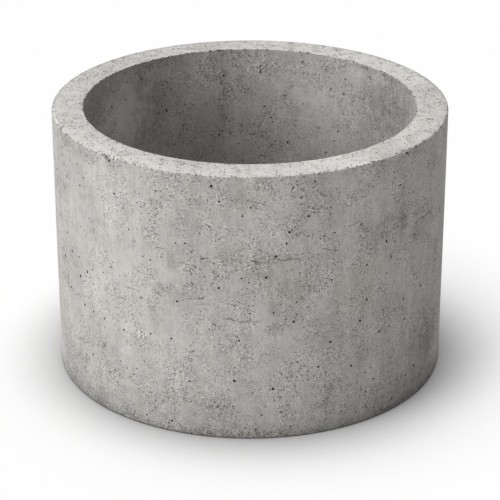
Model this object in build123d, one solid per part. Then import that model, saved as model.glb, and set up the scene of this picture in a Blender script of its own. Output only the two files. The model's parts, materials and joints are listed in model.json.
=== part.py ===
from build123d import *
import os

# Plain-ended concrete culvert ring, cast in one piece and stood on its end.
# The wall's section is drawn once beside the axis and turned a full circle about it.
# Frame: origin at the centre of the base, +Z up the bore. Millimetres.

# Driving dimensions
BORE_DIAMETER = 900.0  # clear width inside, the size that such a ring is sold by
WALL = 85.0  # thickness of the cast wall
HEIGHT = 740.0  # a 750 course less a 10 mm mortar bed

# Radii of the four arrises, which run all the way round
TOP_OUTER_ARRIS = 6.0  # rubbed round by handling
TOP_INNER_ARRIS = 2.5  # struck off crisp against the core
BASE_OUTER_ARRIS = 7.0  # left by the fillet in the mould's base
BASE_INNER_ARRIS = 4.0  # left by the foot of the core

BORE_RADIUS = BORE_DIAMETER / 2
OUTER_RADIUS = BORE_RADIUS + WALL


def wall_section():
    """The wall cut through on the XZ plane: flat beds, upright faces and four eased arrises."""
    corners = [
        ((BORE_RADIUS, 0), BASE_INNER_ARRIS),
        ((OUTER_RADIUS, 0), BASE_OUTER_ARRIS),
        ((OUTER_RADIUS, HEIGHT), TOP_OUTER_ARRIS),
        ((BORE_RADIUS, HEIGHT), TOP_INNER_ARRIS),
    ]
    points = [point for point, arris in corners]
    arrises = [arris for point, arris in corners]
    with BuildSketch(Plane.XZ) as section:
        with BuildLine():
            FilletPolyline(*points, radius=arrises, close=True)
        make_face()
    return section.sketch


def concrete_ring():
    """The whole ring: one solid, with the bore open from bed to bed."""
    return revolve(wall_section(), axis=Axis.Z)


if __name__ == "__main__":
    os.makedirs("parts", exist_ok=True)
    ring = concrete_ring()
    ring.label = "concrete_ring"
    export_step(ring, "parts/concrete_ring.step")
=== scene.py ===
import json
import math

import bpy
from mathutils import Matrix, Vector


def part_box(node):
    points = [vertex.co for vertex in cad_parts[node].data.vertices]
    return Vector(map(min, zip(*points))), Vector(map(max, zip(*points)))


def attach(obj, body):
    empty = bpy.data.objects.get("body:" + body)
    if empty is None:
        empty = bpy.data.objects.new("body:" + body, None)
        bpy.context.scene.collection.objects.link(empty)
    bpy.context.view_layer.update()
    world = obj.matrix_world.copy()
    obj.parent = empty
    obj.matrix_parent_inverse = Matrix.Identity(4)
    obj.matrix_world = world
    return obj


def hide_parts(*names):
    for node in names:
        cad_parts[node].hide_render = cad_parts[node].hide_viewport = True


# Cast concrete culvert ring, stood on its end on a white studio floor.
# Metres, +Z up the bore, origin at the centre of the base. The camera stands on the -Y side.

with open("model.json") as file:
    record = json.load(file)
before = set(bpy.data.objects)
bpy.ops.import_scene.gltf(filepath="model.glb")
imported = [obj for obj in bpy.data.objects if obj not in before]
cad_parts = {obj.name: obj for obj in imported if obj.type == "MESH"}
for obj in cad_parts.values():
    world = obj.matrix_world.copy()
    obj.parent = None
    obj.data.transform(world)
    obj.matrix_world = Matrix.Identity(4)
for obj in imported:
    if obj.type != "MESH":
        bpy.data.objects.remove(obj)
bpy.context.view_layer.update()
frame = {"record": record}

# Sizes of the ring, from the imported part
MM = 0.001
OUTER_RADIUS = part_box("concrete_ring")[1].x
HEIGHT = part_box("concrete_ring")[1].z
bore_mount = next(mount for mount in frame["record"]["mounts"] if mount["name"] == "bore")
BORE_RADIUS = bore_mount["dims"]["r_mm"] * MM

# Sizes of the casting, which are the named inputs of its node tree
CASTING = {
    # Outline
    "Outer Radius": OUTER_RADIUS,
    "Bore Radius": BORE_RADIUS,
    "Height": HEIGHT,
    # Radii of the arrises
    "Top Outer Arris": 6 * MM,
    "Top Inner Arris": 2.5 * MM,
    "Base Outer Arris": 7 * MM,
    "Base Inner Arris": 4 * MM,
    # How finely the wall is divided
    "Turn Steps": 880,
    "Wall Step": 80 * MM,
    "Arris Steps": 3,
    "Worn Arris Steps": 6,
    # Ripples of the mould, and the rubbing down of the top outer arris
    "Ripple Depth": 1.2 * MM,
    "Ripple Length": 150 * MM,
    "Rub Depth": 3.4 * MM,
    "Rub Length": 12 * MM,
    # Scattered air holes and nicks, which differ in size but not from run to run
    "Holes per Square Metre": 120,
    "Hole Least": 1.8 * MM,
    "Hole Most": 6.5 * MM,
    "Outer Nick Count": 230,
    "Bore Nick Count": 190,
    "Nick Least": 2 * MM,
    "Nick Most": 7 * MM,
    "Seed": 7,
}

# A loose crumb of the mesh has fewer points than this, and a bend below this is shaded smooth
CRUMB_POINTS = 1000
GENTLE_BEND = math.radians(32)

# Air holes that stand out: (along, up, across) in mm. On the outer wall along is measured round
# the wall from the camera's side, in the bore from the far side, and in both it is positive to the right.
# The widths were read with the photograph's blur, which SHARPER takes off.
SHARPER = 0.9
WALL_HOLES = [
    (-376, 642, 8), (-519, 621, 8), (-483, 668, 5), (-418, 639, 4), (-499, 649, 5), (-472, 697, 4),
    (-425, 406, 6), (-472, 398, 6), (-537, 411, 6), (-578, 411, 7), (-609, 453, 8), (-497, 383, 8),
    (-633, 376, 11), (-294, 372, 7), (-363, 416, 4), (-264, 486, 6), (-687, 606, 9), (-523, 503, 5),
    (-503, 500, 4), (-477, 542, 5), (-468, 537, 5), (-300, 637, 5), (-329, 556, 5), (-275, 571, 6),
    (-96, 712, 7), (107, 705, 7), (165, 718, 6), (130, 678, 6), (-77, 671, 6), (-19, 634, 6), (148, 626, 8),
    (126, 616, 5), (99, 587, 8), (105, 592, 5), (149, 571, 6), (180, 560, 5), (220, 570, 6), (92, 556, 6),
    (-127, 580, 5), (-76, 570, 6), (66, 523, 7), (-120, 512, 6), (-21, 463, 6), (41, 465, 7), (-79, 434, 7),
    (214, 440, 7), (-122, 401, 5), (-190, 383, 7), (119, 390, 5), (-167, 549, 5), (-3, 452, 4),
    (-243, 632, 6), (-245, 679, 5), (-104, 602, 5), (68, 624, 4), (163, 635, 5), (207, 642, 5),
    (-248, 590, 5), (33, 665, 4), (207, 622, 5), (428, 651, 7), (297, 578, 7), (383, 508, 8), (414, 498, 6),
    (318, 459, 7), (401, 460, 7), (402, 455, 5), (499, 488, 7), (552, 574, 6), (332, 501, 4), (466, 617, 5),
    (485, 614, 5), (386, 416, 5), (478, 474, 5), (565, 467, 5), (283, 587, 4), (331, 675, 5), (403, 695, 4),
    (366, 658, 4), (-533, 357, 10), (-515, 279, 7), (-473, 275, 6), (-427, 272, 6), (-354, 263, 7),
    (-268, 275, 8), (-297, 274, 5), (-438, 202, 5), (-370, 166, 6), (-314, 161, 6), (-325, 141, 7),
    (-289, 189, 5), (-390, 134, 5), (-482, 145, 6), (-515, 131, 6), (-595, 299, 8), (-447, 95, 5),
    (-286, 32, 6), (-487, 38, 7), (-258, 82, 5), (-268, 49, 5), (-471, 357, 5), (-250, 197, 5), (0, 365, 6),
    (113, 336, 8), (92, 345, 5), (60, 366, 6), (121, 355, 5), (-28, 287, 7), (-208, 274, 7), (213, 263, 8),
    (180, 197, 8), (-40, 171, 8), (60, 147, 9), (82, 188, 5), (-159, 159, 6), (-85, 92, 5), (64, 113, 4),
    (80, 78, 6), (206, 100, 5), (-154, 100, 4), (-12, 33, 5), (15, 29, 6), (-209, 32, 7), (107, 32, 6),
    (123, 220, 6), (246, 230, 4), (52, 319, 4), (-136, 330, 4), (30, 71, 5), (142, 206, 5), (320, 361, 7),
    (300, 305, 8), (458, 319, 7), (541, 326, 9), (366, 255, 8), (401, 258, 6), (466, 257, 7), (313, 244, 4),
    (276, 180, 7), (350, 120, 6), (517, 97, 7), (325, 90, 6), (479, 85, 6), (402, 124, 6), (421, 36, 7),
    (328, 41, 6), (296, 37, 5), (521, 355, 6),
]
BORE_HOLES = [
    (-461, 685, 6), (-441, 684, 5), (-473, 644, 7), (-408, 647, 5), (-401, 698, 5), (-316, 590, 6),
    (-286, 574, 7), (-257, 578, 8), (-273, 595, 5), (-254, 662, 5), (-241, 638, 6), (-295, 670, 4),
    (-267, 656, 5), (-526, 712, 6), (-233, 466, 6), (-330, 708, 5), (-281, 715, 5), (-385, 706, 5),
    (-77, 661, 9), (30, 670, 8), (154, 708, 6), (42, 564, 7), (160, 581, 6), (-90, 588, 6), (-82, 569, 5),
    (63, 530, 6), (-70, 527, 6), (-63, 518, 5), (-201, 520, 6), (-189, 505, 5), (-92, 477, 7),
    (-83, 490, 5), (113, 455, 7), (-34, 446, 5), (109, 470, 5), (-158, 708, 5), (-26, 506, 5),
    (-87, 637, 5), (67, 517, 4), (296, 680, 7), (386, 708, 7), (291, 634, 6), (291, 574, 5), (344, 529, 6),
    (261, 482, 6), (235, 441, 7), (272, 514, 5), (395, 652, 5), (456, 697, 5), (232, 706, 5),
]

# Chips knocked out of the top outer arris that stand out, as above: dark notches, and the pale ledges
# beside them
ARRIS_NOTCHES = [
    (-389, 730, 9), (-403, 741, 4.5), (454, 732, 9), (458, 725, 6), (436, 741, 6), (176, 738, 5),
]
ARRIS_LEDGES = [
    (-394, 740, 18), (-412, 741, 10), (-372, 741, 9), (446, 741, 24), (468, 741, 12), (-520, 741, 14),
]

# Hairline cracks in the outer wall: the width in mm, and the points that each runs through, as (along, up)
# in mm
HAIRLINES = [
    (1.6, [(-133, 506), (-120, 512), (-107, 515), (-88, 517), (-66, 518)]),
    (1.8, [(-56, 519), (-45, 516), (-25, 513), (-10, 513)]),
    (2.6, [(-4, 513), (10, 513), (24, 508), (31, 505), (39, 509), (48, 514)]),
    (2.8, [(56, 515), (67, 516), (81, 511), (88, 509), (101, 512), (112, 513), (129, 513)]),
    (4.4, [(-71, 350), (-46, 346), (-25, 342), (5, 343), (36, 344)]),
    (2.4, [(-343, 389), (-320, 391), (-298, 390)]),
    (2.6, [(-262, 394), (-249, 396), (-235, 393), (-221, 390)]),
    (1.8, [(-98, 403), (-82, 400), (-68, 395), (-56, 390), (-30, 387)]),
    (1.6, [(-18, 416), (-3, 421), (12, 424)]),
    (1.6, [(-140, 382), (-120, 385), (-102, 387)]),
    (1.4, [(118, 435), (149, 431), (180, 428)]),
    (2.4, [(-206, 390), (-192, 383), (-178, 388), (-161, 395), (-148, 397), (-122, 402), (-112, 412)]),
    (2.0, [(-410, 350), (-383, 353), (-356, 354), (-338, 348)]),
    (2.0, [(-250, 523), (-235, 525), (-218, 525)]),
    (3.2, [(605, 529), (584, 525), (558, 523), (530, 525), (510, 527)]),
    (2.6, [(172, 537), (193, 531), (216, 520), (234, 520)]),
]

# Trowel marks on the rim
TROWEL_LENGTH = 40 * MM
TROWEL_WIDTH = 5 * MM

# Tone of the plain concrete and of its palest grains: nought is the dark paste and one the pale paste
PLAIN_TONE = 0.57
PALEST_TONE = 1.35
DARK_PASTE = "#666560"
PALE_PASTE = "#cccac6"

# Other colours of the concrete. The yellow stain is a factor on what it lies on. The pore colour is painted
# shade, and the hollow colour is painted shade and dirt.
YELLOW_STAIN = (1.0, 0.995, 0.945, 1.0)
PORE_SHADE = "#454340"
HOLLOW_SHADE_AND_DIRT = "#302f2c"

# Sandiness of the smoothest paste, and the score from which a cell of the concrete is a pore
SMOOTHEST = 0.08
PORE_FROM = 0.85

# Soft patches that stand out: (along, up, half width, half height) in mm, then how much paler,
# or darker where it is below nought
# Many of these are painted light and shade, not tone: the paler patches on the left, the dark band just below
# the top arris, the darker patches low on the right and along the foot, and the dark rings round some holes
# and hairlines
WALL_TONE_LIGHT_AND_SHADE = [
    (-205, 492, 16, 34, -0.20), (445, 545, 24, 50, -0.20), (402, 458, 14, 18, -0.13),
    (505, 492, 22, 26, -0.14), (-45, 526, 40, 16, -0.10), (58, 514, 50, 15, -0.14),
    (45, 471, 26, 20, -0.10), (110, 345, 22, 28, -0.13), (66, 364, 18, 14, -0.09), (66, 320, 24, 18, -0.08),
    (-250, 412, 70, 16, -0.10), (-152, 402, 46, 12, -0.08), (-8, 686, 50, 36, -0.10),
    (-460, 606, 26, 38, -0.09), (-435, 186, 26, 28, -0.09), (-376, 182, 28, 32, -0.09),
    (-620, 306, 46, 22, -0.10), (-650, 362, 28, 14, -0.09), (576, 122, 24, 18, -0.08),
    (560, 640, 80, 70, -0.07), (380, 560, 34, 28, -0.08), (360, 526, 44, 14, -0.09),
    (286, 440, 18, 38, -0.09), (122, 430, 66, 44, -0.05), (-372, 60, 28, 38, -0.08),
    (-146, 596, 52, 50, -0.07), (150, 718, 46, 14, -0.09), (-240, 722, 44, 15, -0.06),
    (590, 526, 40, 11, -0.10), (30, 236, 40, 30, -0.03), (-385, 590, 34, 62, 0.08),
    (345, 632, 34, 52, 0.08), (206, 440, 28, 50, 0.08), (436, 232, 20, 62, 0.08), (335, 152, 25, 28, 0.09),
    (-252, 272, 38, 32, 0.07), (-216, 178, 44, 38, 0.07), (-545, 200, 52, 62, 0.05),
    (16, 590, 54, 42, 0.05), (0, 332, 54, 26, 0.06), (-400, 455, 75, 110, 0.14), (-440, 600, 85, 80, 0.09),
    (330, 660, 120, 110, 0.09), (280, 722, 70, 26, 0.10), (600, 140, 110, 120, -0.13),
    (-610, 80, 90, 80, -0.10), (-400, 110, 50, 110, -0.08), (-80, 95, 70, 50, -0.08),
    (95, 370, 55, 75, -0.10), (-600, 726, 70, 26, -0.12), (-360, 728, 70, 22, -0.08),
    (-50, 716, 120, 34, -0.09), (480, 724, 55, 24, -0.13), (620, 480, 45, 70, 0.08),
    (-610, 415, 70, 45, 0.07), (470, 45, 130, 50, -0.10), (-480, 30, 260, 40, -0.10),
    (400, 610, 40, 100, 0.09), (485, 210, 60, 190, -0.06), (480, 700, 50, 40, -0.06),
    (610, 150, 70, 170, -0.09), (200, 95, 90, 60, -0.07), (230, 690, 60, 50, 0.08),
    (240, 375, 50, 50, -0.08), (245, 240, 45, 50, 0.08), (90, 400, 50, 120, -0.05),
    (-400, 270, 50, 90, -0.07), (-80, 60, 90, 60, -0.06), (-470, 716, 160, 24, -0.07),
    (560, 100, 120, 120, -0.08), (0, 300, 110, 260, -0.02),
]
# Many of these are painted light and shade, not tone: the broad paler patches on the left, the darker ones on
# the right, and the dark band just below the arris on the right
BORE_TONE_LIGHT_AND_SHADE = [
    (-77, 610, 14, 130, -0.08), (-78, 664, 14, 24, -0.08), (-90, 560, 30, 70, -0.05),
    (-300, 600, 40, 90, -0.04), (-160, 690, 34, 44, 0.07), (20, 680, 60, 50, 0.05),
    (220, 600, 110, 110, 0.11), (330, 690, 24, 60, 0.06), (-420, 640, 160, 160, 0.14),
    (-240, 600, 90, 140, 0.04), (520, 660, 120, 200, -0.17), (-160, 650, 65, 90, 0.20),
    (-285, 685, 75, 45, 0.13), (350, 734, 90, 10, -0.22), (450, 620, 80, 60, -0.08),
    (240, 480, 60, 55, 0.13), (-320, 515, 60, 60, -0.12), (-460, 480, 60, 60, -0.10),
    (470, 731, 90, 18, -0.08), (550, 728, 60, 22, -0.12), (-60, 600, 340, 140, 0.06),
    (-60, 690, 300, 40, 0.06), (440, 640, 100, 110, -0.10), (-430, 610, 120, 120, 0.33),
]
# On the rim, along is measured as on the outer wall
RIM_PATCHES = [
    (-1540, 740, 75, 60, -0.10), (-1190, 740, 160, 60, -0.12), (215, 740, 120, 60, 0.10),
    (425, 740, 60, 60, -0.09), (860, 740, 200, 60, -0.08), (-820, 740, 140, 60, -0.03),
    (-420, 740, 170, 60, 0.035), (280, 740, 60, 60, 0.06), (-1260, 740, 60, 60, -0.03),
    (700, 740, 60, 60, -0.05),
]

# Patches that are sandier, or smoother where it is below nought, in the same way
WALL_SAND = [
    (-400, 530, 190, 150, -0.45), (-458, 275, 120, 60, -0.35), (-550, 570, 60, 90, -0.20),
    (391, 615, 45, 45, -0.40), (-170, 391, 60, 30, -0.30), (-240, 292, 70, 40, -0.25),
    (115, 716, 110, 30, 0.30), (380, 510, 80, 70, 0.45), (433, 524, 60, 50, 0.20), (173, 631, 60, 50, 0.25),
    (160, 197, 70, 60, 0.30), (52, 144, 60, 50, 0.30), (30, 512, 140, 26, 0.25), (280, 300, 100, 60, 0.15),
    (-580, 480, 110, 260, -0.40), (-430, 690, 120, 40, -0.30), (-100, 600, 45, 45, -0.30),
    (-460, 370, 70, 60, -0.35), (-350, 280, 50, 60, -0.35), (0, 685, 60, 45, -0.25),
    (-250, 700, 90, 40, -0.20),
]
BORE_SAND = [
    (-420, 600, 150, 130, -0.2), (196, 607, 50, 50, -0.25), (-405, 575, 70, 45, -0.40),
    (-60, 430, 120, 60, -0.15), (-41, 716, 90, 40, 0.45), (-288, 624, 45, 55, 0.50),
    (-74, 616, 30, 90, 0.35), (242, 722, 120, 30, 0.30),
]

# Patches with a faint yellow stain, in the same way
WALL_STAINS = [
    (-8, 696, 45, 50, 1.0), (-40, 535, 45, 35, 1.0), (10, 500, 50, 30, 0.8), (75, 490, 35, 35, 1.0),
    (300, 390, 80, 85, 1.0), (100, 435, 55, 60, 0.7), (330, 450, 60, 50, 0.8),
]

# Camera, fitted to the outlines of the rim, the sides and the base
CAMERA_BACK = 5.1426
CAMERA_UP = 2.6138
CAMERA_PITCH = math.radians(24.21)
CAMERA_LENS = 145.3
CAMERA_SENSOR = 36.0
CAMERA_REACH = 100

# Lamps, as (azimuth, elevation, softness, strength), with angles in degrees: azimuth is from the camera's
# side, positive to its right
LAMPS = {
    "key_softbox": (-55, 20, 40, 2.42),
    "side_softbox": (-120, 70, 40, 0.75),
    "top_softbox": (180, 80, 60, 1.59),
}
LAMP_DISTANCE = 4
SKY_WHITE = "#ffffff"
SKY_STRENGTH = 0.13

# Floor: its size, its white, the shade that gathers where the ring stands on it, and its glow
FLOOR_HALF = 20.0
FLOOR_WHITE = "#f0f0f0"
CREVICE_REACH = 0.20
CREVICE_SHARE = 0.87
GLOW_WHITE = "#fefefe"
FLOOR_GLOW = 0.02
GLOW_FROM = 0.47
GLOW_REACH = 0.55
GLOW_CENTRE = (-0.005, 0.042, 0.0)


def linear(code):
    """An sRGB hex colour as linear red, green, blue and alpha."""
    parts = [int(code[i:i + 2], 16) / 255 for i in (1, 3, 5)]
    return (*[p / 12.92 if p <= 0.04045 else ((p + 0.055) / 1.055) ** 2.4 for p in parts], 1.0)


# Kinds of node that are used most
MATH = "ShaderNodeMath"
VECTOR_MATH = "ShaderNodeVectorMath"
MAP_RANGE = "ShaderNodeMapRange"
NOISE = "ShaderNodeTexNoise"


def add(tree, kind, inputs=None, **settings):
    """Adds a node with its settings. Inputs are keyed by a socket's name or number. Each is a plain value,
    another node's socket, a node, which stands for its first output, or a list of these."""
    node = tree.nodes.new(kind)
    for name, value in settings.items():
        setattr(node, name, value)
    for key, value in (inputs or {}).items():
        live = [socket for socket in node.inputs if socket.enabled]
        socket = live[key] if isinstance(key, int) else next(s for s in live if s.name == key)
        for source in value if isinstance(value, list) else [value]:
            if isinstance(source, bpy.types.Node):
                source = next(s for s in source.outputs if s.enabled)
            if isinstance(source, bpy.types.NodeSocket):
                tree.links.new(source, socket)
            else:
                socket.default_value = source
    return node


def blank_tree(owner):
    """The emptied node tree of a material or a world."""
    owner.use_nodes = True
    owner.node_tree.nodes.clear()
    return owner.node_tree


def put_in_scene(name, data):
    """A new object, in the scene."""
    thing = bpy.data.objects.new(name, data)
    bpy.context.scene.collection.objects.link(thing)
    return thing


# Casting: the ring's mesh

# Kinds of mark that are listed one by one
HOLE, LEDGE, HAIRLINE = range(3)

# Factor that drops a vector's height, and how far the way out of a top arris points up
LEVEL = (1.0, 1.0, 0.0)
ARRIS_LIFT = 0.8


def marks_mesh():
    """The marks that are listed: a loose point for each air hole, notch and ledge, and a line for
    each hairline. Each point holds its kind, its width and the way out of the concrete."""
    points, kinds, widths, outwards, edges = [], [], [], [], []

    def put(kind, along, up, across, radius, facing, lift):
        angle = along * MM / radius
        out = Vector((math.sin(angle), -math.cos(angle) * facing, 0))
        points.append(out * radius + Vector((0, 0, up * MM)))
        outwards.append((out * facing + Vector((0, 0, lift))).normalized())
        widths.append(across * MM)
        kinds.append(kind)

    for marks, kind, scale, radius, facing, lift in (
            (WALL_HOLES, HOLE, SHARPER, OUTER_RADIUS, 1, 0.0),
            (ARRIS_NOTCHES, HOLE, 1, OUTER_RADIUS, 1, ARRIS_LIFT),
            (ARRIS_LEDGES, LEDGE, 1, OUTER_RADIUS, 1, ARRIS_LIFT),
            (BORE_HOLES, HOLE, SHARPER, BORE_RADIUS, -1, 0.0)):
        for along, up, across in marks:
            put(kind, along, up, across * scale, radius, facing, lift)
    for across, route in HAIRLINES:
        for step, (along, up) in enumerate(route):
            put(HAIRLINE, along, up, across, OUTER_RADIUS, 1, 0.0)
            if step:
                edges.append((len(points) - 2, len(points) - 1))
    mesh = bpy.data.meshes.new("casting_marks")
    mesh.from_pydata(points, edges, [])
    mesh.attributes.new("kind", "INT", "POINT").data.foreach_set("value", kinds)
    mesh.attributes.new("across", "FLOAT", "POINT").data.foreach_set("value", widths)
    flat = [value for out in outwards for value in out]
    mesh.attributes.new("outward", "FLOAT_VECTOR", "POINT").data.foreach_set("vector", flat)
    return mesh


def darkened(tree, geometry, darkness):
    """The geometry, whose faces now hold how dark the hollow that they line is, in painted shade and dirt."""
    return add(tree, "GeometryNodeStoreNamedAttribute", domain="FACE", inputs={
        "Geometry": geometry, "Name": "hollow", "Value": darkness})


def ring_body(tree, size):
    """The wall's section, carried round the bore, with the ripples of the mould and a rubbed top arris."""
    radii = {0: size["Outer Radius"], 1: size["Bore Radius"]}
    wall = add(tree, MATH, radii, operation="SUBTRACT")
    both = add(tree, MATH, radii, operation="ADD")
    middle = add(tree, MATH, {0: both, 1: 0.5}, operation="MULTIPLY")
    section = add(tree, "GeometryNodeCurvePrimitiveQuadrilateral", {"Width": wall, "Height": size["Height"]})

    # In the section X points out of the ring and Y points down
    place = add(tree, "GeometryNodeInputPosition")
    across, down, _ = add(tree, "ShaderNodeSeparateXYZ", {0: place}).outputs
    is_outer = add(tree, "FunctionNodeCompare", {"A": across, "B": 0.0}, operation="GREATER_THAN")
    is_top = add(tree, "FunctionNodeCompare", {"A": down, "B": 0.0}, operation="LESS_THAN")
    inner, outer = [
        add(tree, "GeometryNodeSwitch", input_type="FLOAT", inputs={
            "Switch": is_top, "False": size[f"Base {side} Arris"], "True": size[f"Top {side} Arris"]})
        for side in ("Inner", "Outer")]
    arris = add(tree, "GeometryNodeSwitch", input_type="FLOAT", inputs={
        "Switch": is_outer, "False": inner, "True": outer})
    is_worn = add(tree, "FunctionNodeBooleanMath", {0: is_outer, 1: is_top}, operation="AND")
    steps = add(tree, "GeometryNodeSwitch", input_type="INT", inputs={
        "Switch": is_worn, "False": size["Arris Steps"], "True": size["Worn Arris Steps"]})
    rounded = add(tree, "GeometryNodeFilletCurve", mode="POLY", inputs={
        "Curve": section, "Count": steps, "Radius": arris})

    # Long runs of the section are divided, and the arrises stay as they are
    following = add(tree, "GeometryNodeOffsetPointInCurve", {"Offset": 1}).outputs["Point Index"]
    next_place = add(tree, "GeometryNodeFieldAtIndex", data_type="FLOAT_VECTOR", inputs={
        "Index": following, "Value": place})
    run = add(tree, VECTOR_MATH, {0: place, 1: next_place}, operation="DISTANCE").outputs["Value"]
    cuts = add(tree, MATH, {0: run, 1: size["Wall Step"]}, operation="DIVIDE")
    divided = add(tree, "GeometryNodeSubdivideCurve", {"Curve": rounded, "Cuts": cuts})
    round_the_bore = add(tree, "GeometryNodeCurvePrimitiveCircle", {
        "Resolution": size["Turn Steps"], "Radius": middle})
    swept = add(tree, "GeometryNodeCurveToMesh", {"Curve": round_the_bore, "Profile Curve": divided})
    half_height = add(tree, MATH, {0: size["Height"], 1: 0.5}, operation="MULTIPLY")
    lift = add(tree, "ShaderNodeCombineXYZ", {"Z": half_height})
    standing = add(tree, "GeometryNodeSetPosition", {"Geometry": swept, "Offset": lift})

    # Ripples of the mould, along the surface's own normal; the beds stay level
    ripple_scale = add(tree, MATH, {0: 1.0, 1: size["Ripple Length"]}, operation="DIVIDE")
    ripple = add(tree, NOISE, {"Scale": ripple_scale, "Detail": 2.0, "Roughness": 0.5})
    swing = add(tree, MATH, {0: ripple.outputs["Fac"], 1: 0.5}, operation="SUBTRACT")
    depth = add(tree, MATH, {0: swing, 1: size["Ripple Depth"]}, operation="MULTIPLY")
    normal = add(tree, "GeometryNodeInputNormal")
    level = add(tree, VECTOR_MATH, {0: normal, 1: LEVEL}, operation="MULTIPLY")
    push = add(tree, VECTOR_MATH, {0: level, "Scale": depth}, operation="SCALE")
    rippled = add(tree, "GeometryNodeSetPosition", {"Geometry": standing, "Offset": push})

    # The top outer arris is rubbed down unevenly, and the wear dies away within a few millimetres
    place = add(tree, "GeometryNodeInputPosition")
    radial = add(tree, VECTOR_MATH, {0: place, 1: LEVEL}, operation="MULTIPLY")
    radius = add(tree, VECTOR_MATH, {0: radial}, operation="LENGTH").outputs["Value"]
    height = add(tree, "ShaderNodeSeparateXYZ", {0: place}).outputs["Z"]
    from_side = add(tree, MATH, {0: size["Outer Radius"], 1: radius}, operation="SUBTRACT")
    from_top = add(tree, MATH, {0: size["Height"], 1: height}, operation="SUBTRACT")
    from_arris = add(tree, MATH, {0: from_side, 1: from_top}, operation="ADD")
    near = add(tree, MAP_RANGE, interpolation_type="SMOOTHSTEP", inputs={
        "Value": from_arris, "From Min": size["Top Outer Arris"], "From Max": 0.0})
    rub_scale = add(tree, MATH, {0: 1.0, 1: size["Rub Length"]}, operation="DIVIDE")
    rub = add(tree, NOISE, {"Scale": rub_scale, "Detail": 3.0, "Roughness": 0.65})
    worn = add(tree, MAP_RANGE, {
        "Value": rub.outputs["Fac"], "From Min": 0.38, "From Max": 0.72, "To Max": size["Rub Depth"]})
    inwards = add(tree, MATH, {0: near, 1: worn}, operation="MULTIPLY")
    unit = add(tree, VECTOR_MATH, {0: radial}, operation="NORMALIZE")
    slant = add(tree, VECTOR_MATH, {0: unit, 1: (0.0, 0.0, 1.0)}, operation="ADD")
    back = add(tree, MATH, {0: inwards, 1: -0.7}, operation="MULTIPLY")
    rub_push = add(tree, VECTOR_MATH, {0: slant, "Scale": back}, operation="SCALE")
    rubbed = add(tree, "GeometryNodeSetPosition", {"Geometry": rippled, "Offset": rub_push})
    return darkened(tree, rubbed, 0.0)


def onto_surface(tree, points, ring):
    """Points moved onto the nearest place of the ring's own uneven surface."""
    nearest = add(tree, "GeometryNodeProximity", {0: ring}, target_element="FACES").outputs["Position"]
    return add(tree, "GeometryNodeSetPosition", {"Geometry": points, "Position": nearest})


def lump(tree, darkness):
    """An uneven ball one unit across, which cuts an air hole or a chip. It is sunk a little, so that the hole
    is wider inside than at its mouth."""
    ball = add(tree, "GeometryNodeMeshIcoSphere", {"Radius": 0.5, "Subdivisions": 2})
    noise = add(tree, NOISE, {"Scale": 2.6, "Detail": 1.0})
    swing = add(tree, MAP_RANGE, {
        "Value": noise.outputs["Fac"], "From Min": 0.25, "From Max": 0.75, "To Min": -0.14, "To Max": 0.14})
    normal = add(tree, "GeometryNodeInputNormal")
    push = add(tree, VECTOR_MATH, {0: normal, "Scale": swing}, operation="SCALE")
    sunk = add(tree, VECTOR_MATH, {0: push, 1: (0.0, 0.0, -0.12)}, operation="ADD")
    uneven = add(tree, "GeometryNodeSetPosition", {"Geometry": ball, "Offset": sunk})
    return darkened(tree, uneven, darkness)


def lumps_at(tree, points, outward, across, darkness, flattest, deepest, seed, chosen=True):
    """A lump at each chosen point, facing outward, with a random turn. Its width is across, but it is a
    little longer one way than the other, and of uneven depth."""
    facing = add(tree, "FunctionNodeAlignRotationToVector", {"Vector": outward}, axis="Z")
    angle = add(tree, "FunctionNodeRandomValue", {"Max": math.tau, "Seed": seed}, data_type="FLOAT")
    spin = add(tree, "FunctionNodeAxisAngleToRotation", {"Axis": (0.0, 0.0, 1.0), "Angle": angle})
    turn = add(tree, "FunctionNodeRotateRotation", rotation_space="LOCAL", inputs={
        "Rotation": facing, "Rotate By": spin})
    shape = add(tree, "FunctionNodeRandomValue", data_type="FLOAT_VECTOR", inputs={
        "Min": (0.8, 0.8, flattest), "Max": (1.25, 1.25, deepest), "Seed": seed + 1})
    scale = add(tree, VECTOR_MATH, {0: shape, "Scale": across}, operation="SCALE")
    return add(tree, "GeometryNodeInstanceOnPoints", {
        "Points": points, "Selection": chosen, "Instance": lump(tree, darkness), "Rotation": turn,
        "Scale": scale})


def mostly_small(tree, seed, rarity, least, most):
    """A random width from least to most. The greater the rarity, the fewer are large."""
    chance = add(tree, "FunctionNodeRandomValue", {"Seed": seed}, data_type="FLOAT")
    few_large = add(tree, MATH, {0: chance, 1: rarity}, operation="POWER")
    return add(tree, MAP_RANGE, {"Value": few_large, "To Min": least, "To Max": most})


def scattered_holes(tree, size, ring):
    """Air holes all over the ring, thicker in some patches than in others, most of them small. Faces turned
    to -Y, where the large ones are listed, get few large ones."""
    patches = add(tree, NOISE, {"Scale": 6.0, "Detail": 2.0})
    crowd = add(tree, MAP_RANGE, {
        "Value": patches.outputs["Fac"], "From Min": 0.35, "From Max": 0.65, "To Min": 0.25, "To Max": 1.75})
    density = add(tree, MATH, {0: crowd, 1: size["Holes per Square Metre"]}, operation="MULTIPLY")
    spread = add(tree, "GeometryNodeDistributePointsOnFaces", {
        "Mesh": ring, "Density": density, "Seed": size["Seed"]})
    normal = spread.outputs["Normal"]
    away = add(tree, "ShaderNodeSeparateXYZ", {0: normal}).outputs["Y"]
    rarity = add(tree, MAP_RANGE, {"Value": away, "From Max": 0.1, "To Min": 5.0, "To Max": 2.0})
    across = mostly_small(tree, 11, rarity, size["Hole Least"], size["Hole Most"])
    points = spread.outputs["Points"]
    return lumps_at(tree, points, normal, across, darkness=1.0, flattest=0.8, deepest=1.3, seed=12)


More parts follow.
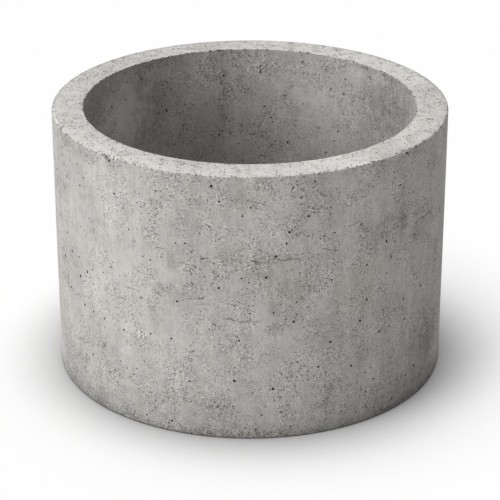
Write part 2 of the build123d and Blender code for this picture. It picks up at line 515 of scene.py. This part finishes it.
def placed_hollows(tree, marks, ring, kind, darkness, flattest, deepest):
    """The air holes and chips of one kind that are listed."""
    kinds = add(tree, "GeometryNodeInputNamedAttribute", {"Name": "kind"}, data_type="INT")
    is_kind = add(tree, "FunctionNodeCompare", {"A": kinds, "B": kind}, data_type="INT", operation="EQUAL")
    across = add(tree, "GeometryNodeInputNamedAttribute", {"Name": "across"}, data_type="FLOAT")
    outward = add(tree, "GeometryNodeInputNamedAttribute", {"Name": "outward"}, data_type="FLOAT_VECTOR")
    points = onto_surface(tree, marks, ring)
    return lumps_at(tree, points, outward, across, darkness, flattest, deepest, seed=21, chosen=is_kind)


def arris_nicks(tree, size, ring, side, facing, darkness, seed):
    """Small nicks knocked out of the top arris of one side, all the way round; facing is -1 for the bore."""
    angle = add(tree, "FunctionNodeRandomValue", {"Max": math.tau, "Seed": seed}, data_type="FLOAT")
    ahead = add(tree, MATH, {0: angle}, operation="COSINE")
    aside = add(tree, MATH, {0: angle}, operation="SINE")
    unit = add(tree, "ShaderNodeCombineXYZ", {"X": ahead, "Y": aside})
    level = add(tree, VECTOR_MATH, {0: unit, "Scale": size[side + " Radius"]}, operation="SCALE")
    lift = add(tree, "ShaderNodeCombineXYZ", {"Z": size["Height"]})
    place = add(tree, VECTOR_MATH, {0: level, 1: lift}, operation="ADD")
    points = add(tree, "GeometryNodePoints", {"Count": size[side + " Nick Count"], "Position": place})
    position = add(tree, "GeometryNodeInputPosition")
    radial = add(tree, VECTOR_MATH, {0: position, 1: LEVEL}, operation="MULTIPLY")
    radial_unit = add(tree, VECTOR_MATH, {0: radial}, operation="NORMALIZE")
    out = add(tree, VECTOR_MATH, {0: radial_unit, "Scale": facing}, operation="SCALE")
    outward = add(tree, VECTOR_MATH, {0: out, 1: (0.0, 0.0, ARRIS_LIFT)}, operation="ADD")
    across = mostly_small(tree, seed + 1, 2.0, size["Nick Least"], size["Nick Most"])
    settled = onto_surface(tree, points, ring)
    return lumps_at(tree, settled, outward, across, darkness, flattest=0.8, deepest=1.2, seed=seed + 2)


def hairline_grooves(tree, marks, ring):
    """Shallow grooves along the hairlines, which wander, open and close, darken and pale with painted shade
    and dirt, and run out at both ends."""
    lines = add(tree, "GeometryNodeMeshToCurve", {"Mesh": marks})
    fine = add(tree, "GeometryNodeResampleCurve", {"Curve": lines, "Length": 3.0 * MM}, mode="LENGTH")
    wander = add(tree, NOISE, {"Scale": 1 / (9 * MM), "Detail": 2.0})
    swing = add(tree, MAP_RANGE, {
        "Value": wander.outputs["Fac"], "From Min": 0.2, "From Max": 0.8,
        "To Min": -3 * MM, "To Max": 3 * MM})
    shift = add(tree, "ShaderNodeCombineXYZ", {"Z": swing})
    wavy = add(tree, "GeometryNodeSetPosition", {"Geometry": fine, "Offset": shift})
    upright = add(tree, "GeometryNodeSetCurveNormal", {"Curve": onto_surface(tree, wavy, ring)}, mode="Z_UP")
    along = add(tree, "GeometryNodeSplineParameter").outputs["Factor"]
    half_turn = add(tree, MATH, {0: along, 1: math.pi}, operation="MULTIPLY")
    swell = add(tree, MATH, {0: half_turn}, operation="SINE")
    taper = add(tree, MAP_RANGE, {"Value": swell, "From Max": 0.6, "To Min": 0.15, "To Max": 1.0})
    gape = add(tree, NOISE, {"Scale": 1 / (14 * MM), "Detail": 2.0})
    opening = add(tree, MAP_RANGE, {
        "Value": gape.outputs["Fac"], "From Min": 0.35, "From Max": 0.65, "To Min": 0.55, "To Max": 1.5})
    across = add(tree, "GeometryNodeInputNamedAttribute", {"Name": "across"}, data_type="FLOAT")
    tapered = add(tree, MATH, {0: taper, 1: across}, operation="MULTIPLY")
    width = add(tree, MATH, {0: tapered, 1: opening}, operation="MULTIPLY")
    ring_of_four = add(tree, "GeometryNodeCurvePrimitiveCircle", {"Resolution": 4, "Radius": 0.5})
    blade = add(tree, "GeometryNodeTransform", {"Geometry": ring_of_four, "Scale": (0.6, 1.0, 1.0)})
    groove = add(tree, "GeometryNodeCurveToMesh", {
        "Curve": upright, "Profile Curve": blade, "Scale": width, "Fill Caps": True})
    # Painted shade and dust in the groove, darker where it gapes wider
    painted_shade = add(tree, MAP_RANGE, {
        "Value": gape.outputs["Fac"], "From Min": 0.35, "From Max": 0.6, "To Min": 0.28, "To Max": 0.5})
    return darkened(tree, groove, painted_shade)


def cast_ring_tree(concrete):
    """The whole casting as one node tree: the ring with its air holes, chips, nicks and hairlines cut out."""
    tree = bpy.data.node_groups.new("cast_ring", "GeometryNodeTree")
    tree.interface.new_socket("Marks", in_out="INPUT", socket_type="NodeSocketGeometry")
    tree.interface.new_socket("Casting", in_out="OUTPUT", socket_type="NodeSocketGeometry")
    identifiers = {}
    for name, value in CASTING.items():
        kind = "NodeSocketInt" if isinstance(value, int) else "NodeSocketFloat"
        identifiers[name] = tree.interface.new_socket(name, in_out="INPUT", socket_type=kind).identifier
    given = add(tree, "NodeGroupInput")
    size = {name: given.outputs[name] for name in CASTING}
    marks = given.outputs["Marks"]

    ring = ring_body(tree, size)
    cutters = [
        scattered_holes(tree, size, ring),
        placed_hollows(tree, marks, ring, HOLE, darkness=1.0, flattest=0.9, deepest=1.3),
        placed_hollows(tree, marks, ring, LEDGE, darkness=0.1, flattest=0.4, deepest=0.6),
        arris_nicks(tree, size, ring, "Outer", facing=1, darkness=0.3, seed=31),
        arris_nicks(tree, size, ring, "Bore", facing=-1, darkness=0.9, seed=41),
        hairline_grooves(tree, marks, ring),
    ]
    cut = add(tree, "GeometryNodeMeshBoolean", operation="DIFFERENCE", solver="MANIFOLD", inputs={
        "Mesh 1": ring, "Mesh 2": cutters})

    # Crumbs that a cut leaves loose are dropped
    shell = add(tree, "GeometryNodeInputMeshIsland").outputs["Island Index"]
    counted = add(tree, "GeometryNodeAccumulateField", data_type="INT", domain="POINT", inputs={
        "Value": 1, "Group ID": shell})
    points = next(s for s in counted.outputs if s.enabled and s.name == "Total")
    is_crumb = add(tree, "FunctionNodeCompare", data_type="INT", operation="LESS_THAN", inputs={
        "A": points, "B": CRUMB_POINTS})
    cut = add(tree, "GeometryNodeDeleteGeometry", {"Geometry": cut, "Selection": is_crumb}, domain="POINT")

    # Gentle bends are shaded smooth, but not across the mouth of a cut
    hollow = add(tree, "GeometryNodeInputNamedAttribute", {"Name": "hollow"}, data_type="FLOAT")
    is_cut = add(tree, "FunctionNodeCompare", {"A": hollow, "B": 0.0}, operation="GREATER_THAN")
    mouth = add(tree, "GeometryNodeMeshFaceSetBoundaries", {0: is_cut})
    bend = add(tree, "GeometryNodeInputMeshEdgeAngle").outputs["Unsigned Angle"]
    is_gentle = add(tree, "FunctionNodeCompare", {"A": bend, "B": GENTLE_BEND}, operation="LESS_THAN")
    is_round = add(tree, "FunctionNodeBooleanMath", {0: is_gentle, 1: mouth}, operation="NIMPLY")
    smooth = add(tree, "GeometryNodeSetShadeSmooth", {"Geometry": cut, "Shade Smooth": True}, domain="FACE")
    crisp = add(tree, "GeometryNodeSetShadeSmooth", domain="EDGE", inputs={
        "Geometry": smooth, "Shade Smooth": is_round})
    coated = add(tree, "GeometryNodeSetMaterial", {"Geometry": crisp, "Material": concrete})
    add(tree, "NodeGroupOutput", {"Casting": coated})
    return tree, identifiers


def cast_ring(concrete):
    """The ring as one plain mesh object."""
    piece = put_in_scene("cast_ring", marks_mesh())
    tree, identifiers = cast_ring_tree(concrete)
    modifier = piece.modifiers.new("casting", "NODES")
    modifier.node_group = tree
    for name, value in CASTING.items():
        modifier[identifiers[name]] = value
    evaluated = piece.evaluated_get(bpy.context.evaluated_depsgraph_get())
    mesh = bpy.data.meshes.new_from_object(evaluated)
    piece.modifiers.remove(modifier)
    mesh.materials.clear()
    mesh.materials.append(concrete)
    mesh.polygons.foreach_set("material_index", [0] * len(mesh.polygons))
    for spent in ("kind", "across", "outward"):
        mesh.attributes.remove(mesh.attributes[spent])
    marks = piece.data
    piece.data = mesh
    bpy.data.meshes.remove(marks)
    bpy.data.node_groups.remove(tree)
    return piece


# Finishes


def patched(tree, value, spot, here, ragged, patches):
    """The value with what the patches, whose edges are ragged, add to it where here is one. The spot is how
    far along and up a place lies."""
    change = 0.0
    for along, up, half_width, half_height, amount in patches:
        share = add(tree, VECTOR_MATH, operation="MULTIPLY_ADD", inputs={
            0: spot,
            1: (1 / (half_width * MM), 1 / (half_height * MM), 0.0),
            2: (-along / half_width, -up / half_height, 0.0),
        })
        distance = add(tree, VECTOR_MATH, {0: share}, operation="LENGTH").outputs["Value"]
        edge = add(tree, MATH, {0: ragged, 1: 1.6, 2: distance}, operation="MULTIPLY_ADD")
        soft = add(tree, MAP_RANGE, interpolation_type="SMOOTHSTEP", inputs={
            "Value": edge, "From Min": 2.1, "From Max": 0.9, "To Max": amount})
        change = add(tree, MATH, {0: soft, 1: change}, operation="ADD")
    return add(tree, MATH, {0: change, 1: here, 2: value}, operation="MULTIPLY_ADD")


def cast_concrete():
    """Grey cement concrete as it leaves a steel mould: dry and matt, with cloudy patches where the cement
    paste lay thicker, sandy patches with fine pores between them, a paler struck rim, streaks and a foot
    darkened by dirt and by painted shade."""
    material = bpy.data.materials.new("cast_concrete")
    tree = blank_tree(material)
    place = add(tree, "ShaderNodeTexCoord").outputs["Object"]
    right, far, height = add(tree, "ShaderNodeSeparateXYZ", {0: place}).outputs
    level = add(tree, VECTOR_MATH, {0: place, 1: LEVEL}, operation="MULTIPLY")
    radius = add(tree, VECTOR_MATH, {0: level}, operation="LENGTH").outputs["Value"]

    # Plain noises, as (mm across, octaves)
    plain_noises = (
        (24, 4.0),  # ragged edges
        (65, 4.0),  # coarse patches
        (21, 2.0),  # where the skin is torn
        (3.8, 1.5),  # grit
        (10, 3.0),  # lumps
        (13, 2.0),  # crooked tears
        (34, 2.0),  # waves in the skin
    )
    ragged, coarse, torn, grit, lumps, crooked, waves = [
        add(tree, NOISE, {"Vector": place, "Scale": 1 / (across * MM), "Detail": octaves}).outputs["Fac"]
        for across, octaves in plain_noises]
    grain = add(tree, NOISE, {
        "Vector": place, "Scale": 1 / (5.5 * MM), "Detail": 4.0, "Roughness": 0.7})
    grain_swing = add(tree, MATH, {0: grain.outputs["Fac"], 1: 0.5}, operation="SUBTRACT")

    # Where a place is: on the rim, whose edges are ragged, on the outer wall, in the bore or at the foot
    below = add(tree, MATH, {0: HEIGHT, 1: height}, operation="SUBTRACT")
    from_wall = add(tree, MATH, {0: OUTER_RADIUS, 1: radius}, operation="SUBTRACT")
    from_bore = add(tree, MATH, {0: radius, 1: BORE_RADIUS}, operation="SUBTRACT")
    from_side = add(tree, MATH, {0: from_wall, 1: from_bore}, operation="MINIMUM")
    up_more_than_out = add(tree, MATH, {0: from_side, 1: below}, operation="SUBTRACT")
    frayed_edge = add(tree, MATH, operation="MULTIPLY_ADD", inputs={
        0: grain_swing, 1: 5 * MM, 2: up_more_than_out})
    rim = add(tree, MAP_RANGE, interpolation_type="SMOOTHSTEP", inputs={
        "Value": frayed_edge, "From Min": -1.8 * MM, "From Max": -0.4 * MM})
    on_wall = add(tree, MATH, {0: radius, 1: OUTER_RADIUS - 8 * MM}, operation="GREATER_THAN")
    in_bore = add(tree, MATH, {0: radius, 1: BORE_RADIUS + 4 * MM}, operation="LESS_THAN")
    splash = add(tree, MATH, {0: ragged, 1: 75 * MM}, operation="MULTIPLY")
    foot = add(tree, MAP_RANGE, interpolation_type="SMOOTHSTEP", inputs={
        "Value": height, "From Min": splash, "From Max": 0.0})

    # What differs from the walls to the rim, as (on the walls, on the rim)
    walls_and_rim = (
        (1 / (5.8 * MM), 1 / (8.5 * MM)),  # closeness of the pores
        (0.34, 0.19),  # weight of sand in what is a pore
        (0.12, 0.30),  # reach of the least pores
        (0.4, 0.6),  # strength of the tears
        (0.4, 0.75),  # shade of the lightest pores
        (2.6 * MM, 0.6 * MM),  # swell of the skin
    )
    closeness, weight, least, strength, lightest, swell = [
        add(tree, MAP_RANGE, {"Value": rim, "To Min": on_walls, "To Max": on_rim})
        for on_walls, on_rim in walls_and_rim]

    # The walls unrolled: how far along and up a place is
    nearer = add(tree, MATH, {0: far, 1: -1.0}, operation="MULTIPLY")
    spots = []
    for ahead, wall_radius in ((nearer, OUTER_RADIUS), (far, BORE_RADIUS)):
        turn = add(tree, MATH, {0: right, 1: ahead}, operation="ARCTAN2")
        along = add(tree, MATH, {0: turn, 1: wall_radius}, operation="MULTIPLY")
        spots.append(add(tree, "ShaderNodeCombineXYZ", {"X": along, "Y": height}))
    wall_spot, bore_spot = spots

    # Tone: it starts plain, and each pattern swings it up or down, as (mm across, times taller than wide,
    # octaves, strength)
    patterns = [
        (210, 1, 3.0, 0.50),  # clouds
        (62, 1, 4.0, 0.31),  # patches of paste
        (20, 1, 3.0, 0.27),  # mottle
        (34, 9, 3.0, 0.26),  # streaks where water ran down the mould
        (8, 12, 2.0, 0.20),  # fine scratches from drawing the mould
    ]
    tone = PLAIN_TONE
    for across, taller, octaves, amount in patterns:
        squeezed = add(tree, VECTOR_MATH, {0: place, 1: (1.0, 1.0, 1 / taller)}, operation="MULTIPLY")
        noise = add(tree, NOISE, {"Vector": squeezed, "Scale": 1 / (across * MM), "Detail": octaves})
        swing = add(tree, MATH, {0: noise.outputs["Fac"], 1: 0.5}, operation="SUBTRACT")
        tone = add(tree, MATH, {0: swing, 1: amount, 2: tone}, operation="MULTIPLY_ADD")
    calm = add(tree, MATH, {0: rim, 1: 0.4}, operation="MULTIPLY")
    tone = add(tree, "ShaderNodeMix", {"Factor": calm, "A": tone, "B": PLAIN_TONE}, data_type="FLOAT")

    # Soft patches, some of them painted light and shade, and the paler rim with painted shade along its far
    # outer edge
    for spot, here, patches in ((wall_spot, on_wall, WALL_TONE_LIGHT_AND_SHADE), (bore_spot, in_bore, BORE_TONE_LIGHT_AND_SHADE),
                                (wall_spot, rim, RIM_PATCHES)):
        tone = patched(tree, tone, spot, here, ragged, patches)
    struck = add(tree, MAP_RANGE, {
        "Value": coarse, "From Min": 0.25, "From Max": 0.75, "To Min": 0.27, "To Max": 0.41})
    around = add(tree, VECTOR_MATH, {0: level}, operation="NORMALIZE")
    outwards = add(tree, MATH, {0: radius, 1: TROWEL_LENGTH / TROWEL_WIDTH}, operation="MULTIPLY")
    lifted = add(tree, "ShaderNodeCombineXYZ", {"Z": outwards})
    combed = add(tree, VECTOR_MATH, operation="MULTIPLY_ADD", inputs={
        0: around, 1: (OUTER_RADIUS, OUTER_RADIUS, 0.0), 2: lifted})
    trowel = add(tree, NOISE, {"Vector": combed, "Scale": 1 / TROWEL_LENGTH, "Detail": 2.0}).outputs["Fac"]
    swing = add(tree, MATH, {0: trowel, 1: 0.5}, operation="SUBTRACT")
    struck = add(tree, MATH, {0: swing, 1: 0.18, 2: struck}, operation="MULTIPLY_ADD")
    # Painted shade: on the far side the rim darkens towards its outer edge, where the arris tilts away from
    # the light
    behind = add(tree, MAP_RANGE, {"Value": far, "From Min": -0.1, "From Max": 0.2, "To Max": -0.3})
    painted_shade_reach = add(tree, MATH, {0: ragged, 1: 34 * MM}, operation="MULTIPLY")
    painted_shade = add(tree, MAP_RANGE, interpolation_type="SMOOTHSTEP", inputs={
        "Value": from_wall, "From Min": painted_shade_reach, "From Max": 3 * MM, "To Max": behind})
    struck = add(tree, MATH, {0: struck, 1: painted_shade}, operation="ADD")

    # Sandy patches, where grains and pores show; between them the paste lies smooth
    sandy = add(tree, MAP_RANGE, {
        "Value": coarse, "From Min": 0.38, "From Max": 0.62, "To Min": 0.18, "To Max": 1.08})
    for spot, here, patches in ((wall_spot, on_wall, WALL_SAND), (bore_spot, in_bore, BORE_SAND)):
        sandy = patched(tree, sandy, spot, here, ragged, patches)
    sandy = add(tree, MATH, {0: foot, 1: 0.7, 2: sandy}, operation="MULTIPLY_ADD")
    rough = add(tree, MAP_RANGE, {
        "Value": torn, "From Min": 0.46, "From Max": 0.60, "To Min": 0.35, "To Max": 1.0})
    sandy = add(tree, "ShaderNodeMix", {"Factor": rim, "A": sandy, "B": rough}, data_type="FLOAT")
    sandy = add(tree, "ShaderNodeClamp", {"Value": sandy, "Min": SMOOTHEST, "Max": 1.3})
    speckle = add(tree, MATH, {0: grain_swing, 1: sandy}, operation="MULTIPLY")

    # Sand: most grains are the paste's colour, a few are dark and fewer are pale; drawn coarser than life
    sand = add(tree, "ShaderNodeTexVoronoi", {"Vector": place, "Scale": 1 / (3.2 * MM)}, feature="F1")
    lot = add(tree, "ShaderNodeSeparateColor", {0: sand.outputs["Color"]}).outputs["Red"]
    dark = add(tree, MAP_RANGE, {"Value": lot, "From Min": 0.10, "From Max": 0.0, "To Max": -0.9})
    pale = add(tree, MAP_RANGE, {"Value": lot, "From Min": 0.91, "From Max": 1.0, "To Max": 0.4})
    # Painted shade and light: the grit that the bump raises also makes the tone paler on its tops and darker
    # in its hollows
    swing = add(tree, MATH, {0: grit, 1: 0.5}, operation="SUBTRACT")
    both = add(tree, MATH, {0: dark, 1: pale}, operation="ADD")
    grains_and_cavity_shade = add(tree, MATH, {0: swing, 1: 0.85, 2: both}, operation="MULTIPLY_ADD")
    bare = add(tree, MAP_RANGE, {
        "Value": sandy, "From Min": SMOOTHEST, "From Max": 1.2, "To Min": 0.1, "To Max": 1.15})

    # Scabs: the sandiest patches are lumpy too
    scab = add(tree, MAP_RANGE, {"Value": sandy, "From Min": 0.9, "From Max": 1.3})
    lumpy = add(tree, MATH, {0: lumps, 1: scab}, operation="MULTIPLY")
    middling = add(tree, MATH, {0: scab, 1: -0.5, 2: lumpy}, operation="MULTIPLY_ADD")

    # Colour: what the rim, the foot and the sand do to the tone, then the stains
    # The foot darkens with dirt and with painted shade
    for pattern, amount in ((rim, struck), (foot, -0.22), (speckle, 1.25), (grains_and_cavity_shade, bare), (middling, 0.3)):
        tone = add(tree, MATH, {0: pattern, 1: amount, 2: tone}, operation="MULTIPLY_ADD")
    tone = add(tree, "ShaderNodeClamp", {"Value": tone, "Max": PALEST_TONE})
    plain = add(tree, "ShaderNodeMix", data_type="RGBA", clamp_factor=False, inputs={
        "Factor": tone, "A": linear(DARK_PASTE), "B": linear(PALE_PASTE)})
    stain = patched(tree, 0.0, wall_spot, on_wall, ragged, WALL_STAINS)
    plain = add(tree, "ShaderNodeMix", data_type="RGBA", blend_type="MULTIPLY", inputs={
        "Factor": stain, "A": plain, "B": YELLOW_STAIN})

    # Fine pores: small dark dots, thick in the sandy patches and below the arrises; drawn a little larger
    # than life
    frayed = add(tree, VECTOR_MATH, operation="MULTIPLY_ADD", inputs={
        0: grain.outputs["Color"], 1: (3.4 * MM, 3.4 * MM, 3.4 * MM), 2: place})
    cells = add(tree, "ShaderNodeTexVoronoi", {"Vector": frayed, "Scale": closeness}, feature="F1")
    lots = add(tree, "ShaderNodeSeparateColor", {0: cells.outputs["Color"]})
    chance = lots.outputs["Red"]
    crumbly_from = add(tree, MAP_RANGE, {
        "Value": in_bore, "To Min": HEIGHT - 22 * MM, "To Max": HEIGHT - 45 * MM})
    arris = add(tree, MAP_RANGE, {
        "Value": height, "From Min": crumbly_from, "From Max": HEIGHT - 4 * MM, "To Max": 0.8})
    arris = add(tree, MATH, {0: rim, 1: -0.8, 2: arris}, operation="MULTIPLY_ADD")
    crowd = add(tree, MATH, {0: sandy, 1: arris}, operation="MAXIMUM")
    crowd = add(tree, MATH, {0: crowd, 1: foot}, operation="MAXIMUM")
    likely = add(tree, MATH, {0: crowd, 1: weight, 2: chance}, operation="MULTIPLY_ADD")
    reach = add(tree, MAP_RANGE, {
        "Value": likely, "From Min": PORE_FROM, "From Max": 1.5, "To Min": least, "To Max": 0.42})
    is_pore = add(tree, MATH, {0: likely, 1: PORE_FROM}, operation="GREATER_THAN")
    inside = add(tree, MATH, {0: reach, 1: cells.outputs["Distance"]}, operation="SUBTRACT")
    pore = add(tree, MAP_RANGE, interpolation_type="SMOOTHSTEP", inputs={
        "Value": inside, "From Max": 0.10, "To Max": is_pore})

    # The struck rim is torn: short crooked marks, in patches; the walls are too, more faintly
    off_line = add(tree, MATH, {0: crooked, 1: 0.5}, operation="SUBTRACT")
    off_line = add(tree, MATH, {0: off_line}, operation="ABSOLUTE")
    is_torn = add(tree, MAP_RANGE, {"Value": torn, "From Min": 0.51, "From Max": 0.59, "To Max": strength})
    tear = add(tree, MAP_RANGE, {"Value": off_line, "From Min": 0.040, "From Max": 0.014, "To Max": is_torn})
    broken = add(tree, MAP_RANGE, {
        "Value": grain.outputs["Fac"], "From Min": 0.44, "From Max": 0.52, "To Max": tear})
    pore = add(tree, MATH, {0: pore, 1: broken}, operation="MAXIMUM")
    depth_of_shade = add(tree, MAP_RANGE, {"Value": lots.outputs["Green"], "To Min": lightest})
    shade = add(tree, MATH, {0: pore, 1: depth_of_shade}, operation="MULTIPLY")
    pored = add(tree, "ShaderNodeMix", data_type="RGBA", inputs={
        "Factor": shade, "A": plain, "B": linear(PORE_SHADE)})

    # Air holes, chips and hairlines are darkened with painted shade and dust, and the base gets a painted
    # shade line where it meets the floor
    hollow = add(tree, "ShaderNodeAttribute", attribute_name="hollow").outputs["Fac"]
    dust_and_shade = add(tree, MATH, {0: hollow, 1: 0.87}, operation="MULTIPLY")
    contact_shade = add(tree, MAP_RANGE, interpolation_type="SMOOTHSTEP", inputs={
        "Value": height, "From Min": 5.5 * MM, "From Max": 2 * MM})
    dust_and_shade = add(tree, MATH, {0: dust_and_shade, 1: contact_shade}, operation="MAXIMUM")
    colour = add(tree, "ShaderNodeMix", data_type="RGBA", inputs={
        "Factor": dust_and_shade, "A": pored, "B": linear(HOLLOW_SHADE_AND_DIRT)})

    # Relief too fine for the mesh: the walls' skin is wavy, sand and scabs stand up and pores go in
    wavy = add(tree, "ShaderNodeBump", {"Strength": 1.0, "Distance": swell, "Height": waves})
    stands = add(tree, MATH, {0: lumpy, 1: 1.5, 2: grit}, operation="MULTIPLY_ADD")
    sunk = add(tree, MATH, {0: pore, 1: -0.4, 2: stands}, operation="MULTIPLY_ADD")
    depth = add(tree, MAP_RANGE, {"Value": crowd, "To Min": 0.6 * MM, "To Max": 3.4 * MM})
    bump = add(tree, "ShaderNodeBump", {"Strength": 1.0, "Distance": depth, "Height": sunk, "Normal": wavy})
    skin = add(tree, "ShaderNodeBsdfPrincipled", {
        "Base Color": colour, "Roughness": 0.92, "IOR": 1.5, "Specular IOR Level": 0.25, "Normal": bump})
    add(tree, "ShaderNodeOutputMaterial", {"Surface": skin})
    return material


# Studio


def is_looked_at(tree):
    """One for what the camera sees, straight or in a reflection or through glass, and nought for the rest."""
    path = add(tree, "ShaderNodeLightPath")
    seen = add(tree, MATH, {0: path.outputs["Is Camera Ray"], 1: path.outputs["Is Glossy Ray"]},
               operation="MAXIMUM")
    return add(tree, MATH, {0: seen, 1: path.outputs["Is Transmission Ray"]}, operation="MAXIMUM")


def white_floor():
    """A white floor that keeps the ring's shadow and fades into the white behind it. A glow, for the camera
    and for reflections alone, is faint by the ring and grows into that white."""
    material = bpy.data.materials.new("white_studio_floor")
    tree = blank_tree(material)
    white = linear(FLOOR_WHITE)
    # Painted shade: near the ring the floor's white is darkened by ambient occlusion
    crevice = add(tree, "ShaderNodeAmbientOcclusion", {"Color": white, "Distance": CREVICE_REACH}, samples=8)
    shaded = add(tree, "ShaderNodeMix", {"Factor": CREVICE_SHARE, "A": white, "B": crevice}, data_type="RGBA")
    paint = add(tree, "ShaderNodeBsdfDiffuse", {"Color": shaded})
    place = add(tree, "ShaderNodeTexCoord").outputs["Object"]
    away = add(tree, VECTOR_MATH, {0: place, 1: GLOW_CENTRE}, operation="DISTANCE").outputs["Value"]
    fade = add(tree, MAP_RANGE, interpolation_type="SMOOTHSTEP", inputs={
        "Value": away, "From Min": GLOW_FROM, "From Max": GLOW_FROM + GLOW_REACH, "To Min": FLOOR_GLOW})
    share = add(tree, MATH, {0: is_looked_at(tree), 1: fade}, operation="MULTIPLY")
    glow = add(tree, "ShaderNodeEmission", {"Color": linear(GLOW_WHITE)})
    glowing = add(tree, "ShaderNodeMixShader", {"Fac": share, 1: paint, 2: glow})
    add(tree, "ShaderNodeOutputMaterial", {"Surface": glowing})
    corners = [(x * FLOOR_HALF, y * FLOOR_HALF, 0) for x, y in ((-1, -1), (1, -1), (1, 1), (-1, 1))]
    mesh = bpy.data.meshes.new("studio_floor")
    mesh.from_pydata(corners, [], [(0, 1, 2, 3)])
    mesh.materials.append(material)
    floor = put_in_scene("studio_floor", mesh)


def soft_sky():
    """Even light from all round; the camera, and reflections, see plain white."""
    world = bpy.data.worlds.new("studio_sky")
    tree = blank_tree(world)
    strength = add(tree, MAP_RANGE, {"Value": is_looked_at(tree), "To Min": SKY_STRENGTH})
    sky = add(tree, "ShaderNodeBackground", {"Color": linear(SKY_WHITE), "Strength": strength})
    add(tree, "ShaderNodeOutputWorld", {"Surface": sky})
    bpy.context.scene.world = world


def lamps():
    """Broad soft lamps, far enough away to light ring and floor evenly."""
    for name, (azimuth, elevation, softness, strength) in LAMPS.items():
        around, above = math.radians(azimuth), math.radians(elevation)
        level = math.cos(above)
        towards = Vector((math.sin(around) * level, -math.cos(around) * level, math.sin(above)))
        data = bpy.data.lights.new(name, "SUN")
        data.energy = strength
        data.angle = math.radians(softness)
        lamp = put_in_scene(name, data)
        lamp.location = towards * LAMP_DISTANCE
        lamp.rotation_euler = towards.to_track_quat("Z", "Y").to_euler()


def camera():
    """The photograph's viewpoint: a long lens, looking down on the ring."""
    data = bpy.data.cameras.new("camera")
    data.lens = CAMERA_LENS
    data.sensor_width = CAMERA_SENSOR
    data.clip_end = CAMERA_REACH
    viewpoint = put_in_scene("camera", data)
    viewpoint.location = (0, -CAMERA_BACK, CAMERA_UP)
    viewpoint.rotation_euler = (math.pi / 2 - CAMERA_PITCH, 0, 0)
    bpy.context.scene.camera = viewpoint


bpy.context.scene.view_settings.view_transform = "Standard"
camera()
lamps()
soft_sky()
white_floor()

ring = cast_ring(cast_concrete())
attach(ring, "root")
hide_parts("concrete_ring")
